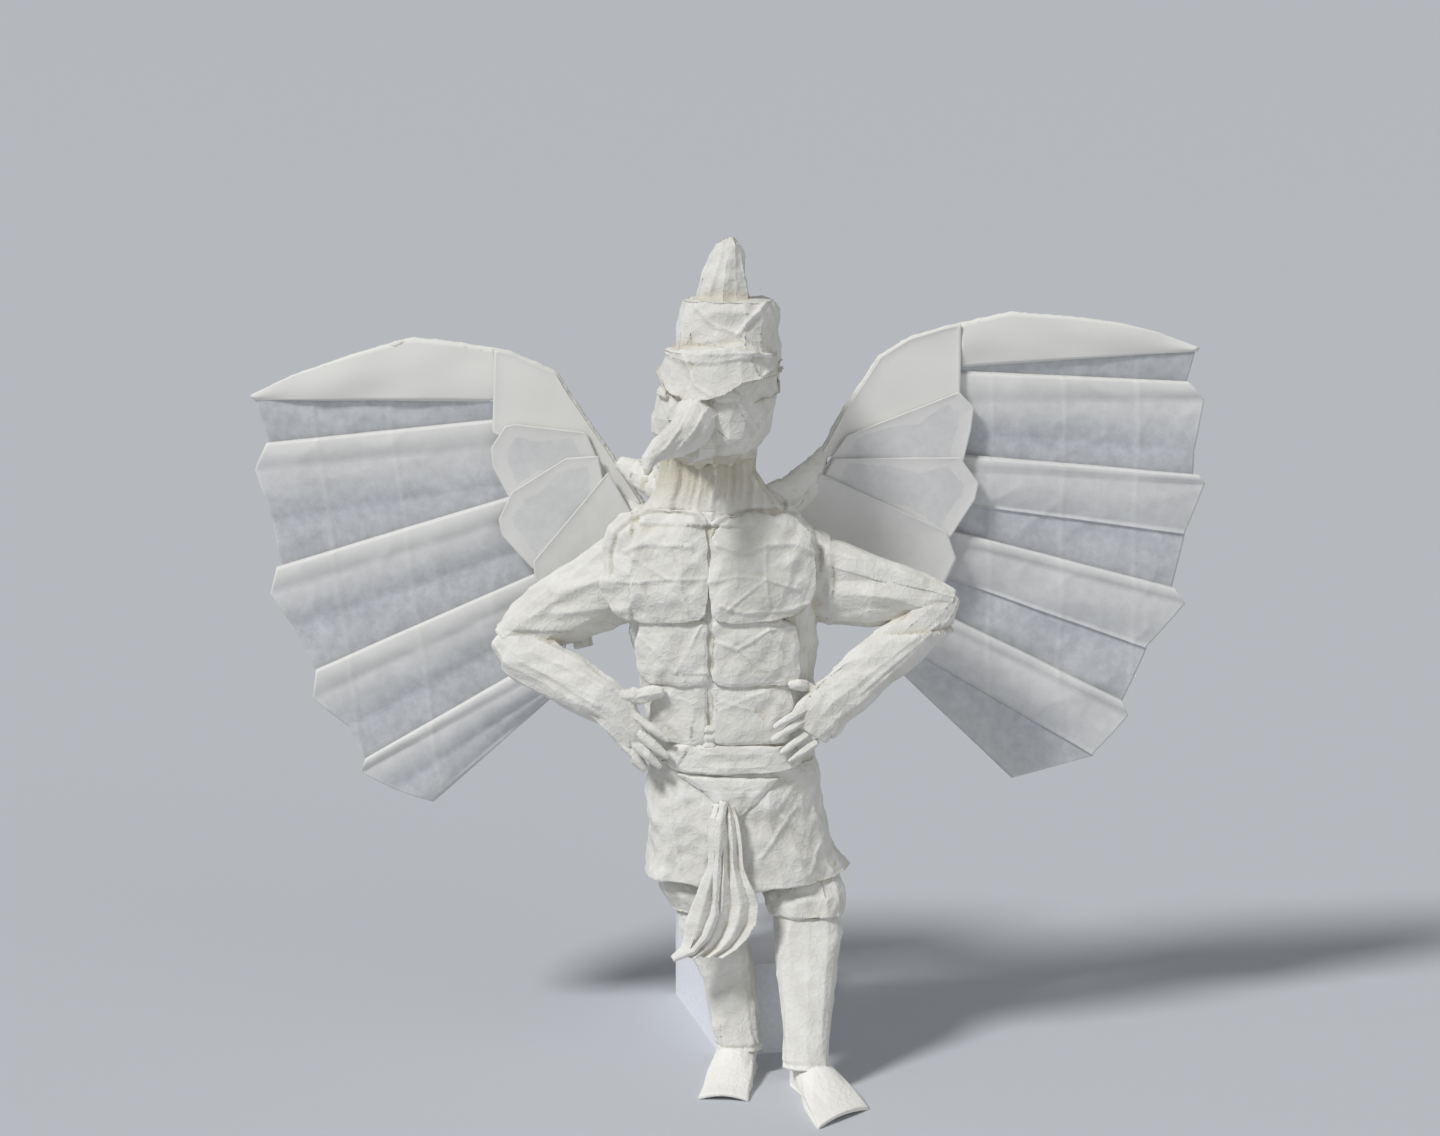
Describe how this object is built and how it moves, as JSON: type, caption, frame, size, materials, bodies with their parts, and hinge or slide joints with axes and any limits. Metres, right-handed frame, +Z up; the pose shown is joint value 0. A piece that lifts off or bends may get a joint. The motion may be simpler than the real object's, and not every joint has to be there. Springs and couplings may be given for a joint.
{
  "type": "folded paper winged figure",
  "caption": "Folded-paper figure of a winged man with a hooked beak and a pointed crown, hands on hips and pleated wings spread, leaning on a plain card block. A display piece.",
  "frame": {"origin": "on the floor, under the middle of the overall box", "axes": "+X to the viewer's right across the wings, -Y the way the figure faces, +Z up"},
  "size_m": [0.2655, 0.125, 0.229],
  "materials": {
    "folded_paper": "matt, creased by hand",
    "support_card": "matt"
  },
  "bodies": {
    "root": {"folded_figure": "folded_paper", "support_block": "support_card"}
  },
  "joints": []
}
